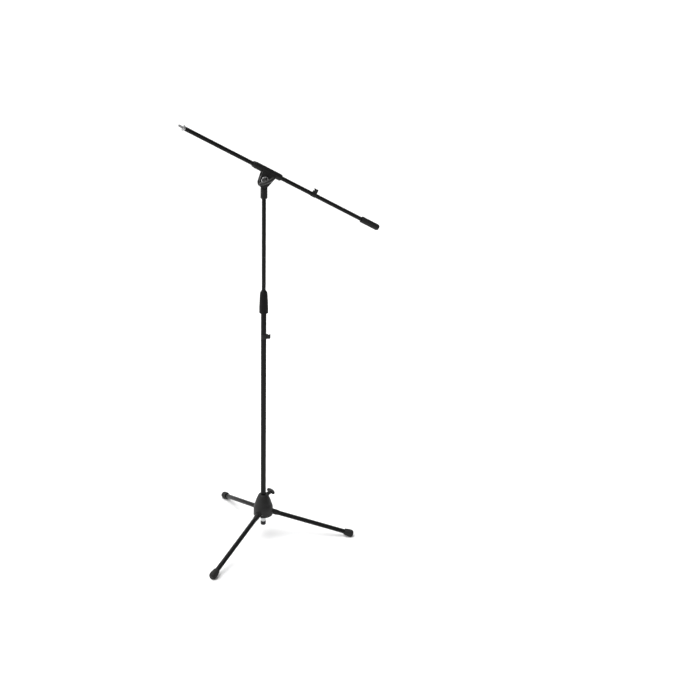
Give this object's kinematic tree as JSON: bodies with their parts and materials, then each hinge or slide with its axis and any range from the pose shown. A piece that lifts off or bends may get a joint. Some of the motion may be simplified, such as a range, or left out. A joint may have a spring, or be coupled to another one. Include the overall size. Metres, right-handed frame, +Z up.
{
  "type": "boom microphone stand",
  "caption": "Tripod microphone stand with a telescopic column, a bell-shaped leg housing, a tilt head with a T-handle and a sliding boom that ends in a microphone thread.",
  "frame": {"origin": "on the floor plane, on the axis of the column", "axes": "+Z up along the column; the boom lies in the XZ plane with its threaded end towards -X; the tilt axis is parallel to Y"},
  "size_m": [0.7944, 0.6461, 1.7459],
  "materials": {
    "cast_black": "matt powder coat on die-cast metal",
    "tube_black": "satin black powder coat on steel tube",
    "plastic_black": "moulded black plastic, fine matt grain",
    "rubber_black": "moulded black rubber",
    "bright_steel": "bright plated steel",
    "zinc_steel": "zinc-plated steel",
    "brass": "turned brass"
  },
  "bodies": {
    "base": {"leg_housing": "cast_black", "housing_guide_ring": "plastic_black", "leg_pivot_pins": "zinc_steel", "clamp_pad": "brass"},
    "leg_1": {"leg_bracket_1": "cast_black", "leg_tube_1": "tube_black", "foot_1": "rubber_black"},
    "leg_2": {"leg_bracket_2": "cast_black", "leg_tube_2": "tube_black", "foot_2": "rubber_black"},
    "leg_3": {"leg_bracket_3": "cast_black", "leg_tube_3": "tube_black", "foot_3": "rubber_black"},
    "base_screw": {"base_screw_stud": "zinc_steel", "base_screw_handle": "plastic_black"},
    "column": {"lower_tube": "tube_black", "tube_end_ferrule": "bright_steel", "tube_end_cap": "plastic_black", "clutch_base": "cast_black", "clutch_collet": "plastic_black"},
    "lower_clip": {"cable_clip_lower": "plastic_black"},
    "clutch": {"clutch_grip": "plastic_black"},
    "slider": {"guide_bush": "plastic_black"},
    "mast": {"upper_tube": "tube_black", "tilt_socket": "cast_black", "friction_washers": "plastic_black"},
    "clamp": {"boom_clamp": "cast_black", "tilt_washer": "bright_steel", "tilt_nut": "zinc_steel"},
    "tilt_screw": {"tilt_bolt": "zinc_steel", "tilt_handle": "plastic_black"},
    "liner": {"boom_clamp_liner": "plastic_black"},
    "boom": {"boom_tube": "tube_black", "boom_end_plug": "bright_steel", "rear_grip": "rubber_black"},
    "boom_clip": {"cable_clip_boom": "plastic_black"},
    "lock_nut": {"thread_lock_nut": "bright_steel"}
  },
  "joints": [
    {"name": "leg_1_fold", "type": "hinge", "parent": "base", "child": "leg_1", "pos_m": [-0.00719, 0.03384, 0.122], "axis": [-0.9781, -0.2079, 0], "range_deg": [0, 72.4]},
    {"name": "leg_2_fold", "type": "hinge", "parent": "base", "child": "leg_2", "pos_m": [-0.02571, -0.02315, 0.122], "axis": [0.6691, -0.7431, 0], "range_deg": [0, 72.4]},
    {"name": "leg_3_fold", "type": "hinge", "parent": "base", "child": "leg_3", "pos_m": [0.03291, -0.01069, 0.122], "axis": [0.309, 0.9511, 0], "range_deg": [0, 72.4]},
    {"name": "base_screw_turn", "type": "hinge", "parent": "base", "child": "base_screw", "pos_m": [0.0279, 0.00961, 0.19914], "axis": [0.8638, 0.2974, 0.4067], "range_deg": [0, 270]},
    {"name": "column_slide", "type": "slide", "parent": "base", "child": "column", "axis": [0, 0, 1], "range_m": [-0.055, 0.03]},
    {"name": "lower_clip_slide", "type": "slide", "parent": "column", "child": "lower_clip", "axis": [0, 0, 1], "range_m": [-0.6, 0.085]},
    {"name": "clutch_twist", "type": "hinge", "parent": "column", "child": "clutch", "pos_m": [0, 0, 1.05], "axis": [0, 0, 1], "range_deg": [0, 90]},
    {"name": "height_slide", "type": "slide", "parent": "column", "child": "slider", "axis": [0, 0, 1], "range_m": [-0.36, 0.28]},
    {"name": "mast_swivel", "type": "hinge", "parent": "slider", "child": "mast", "pos_m": [0, 0, 1.4], "axis": [0, 0, 1], "continuous": true},
    {"name": "boom_tilt", "type": "hinge", "parent": "mast", "child": "clamp", "pos_m": [0, 0, 1.534], "axis": [0, 1, 0], "range_deg": [-110, 58]},
    {"name": "tilt_screw_turn", "type": "hinge", "parent": "clamp", "child": "tilt_screw", "pos_m": [0, -0.02, 1.534], "axis": [0, -1, 0], "range_deg": [0, 270]},
    {"name": "boom_roll", "type": "hinge", "parent": "clamp", "child": "liner", "pos_m": [0.01643, 0, 1.5649], "axis": [-0.8829, 0, 0.4695], "continuous": true},
    {"name": "boom_slide", "type": "slide", "parent": "liner", "child": "boom", "axis": [-0.8829, 0, 0.4695], "range_m": [-0.27, 0.13]},
    {"name": "boom_clip_slide", "type": "slide", "parent": "boom", "child": "boom_clip", "axis": [0.8829, 0, -0.4695], "range_m": [0, 0.2]},
    {"name": "lock_nut_turn", "type": "hinge", "parent": "boom", "child": "lock_nut", "pos_m": [-0.29905, 0, 1.73264], "axis": [-0.8829, 0, 0.4695], "continuous": true}
  ]
}
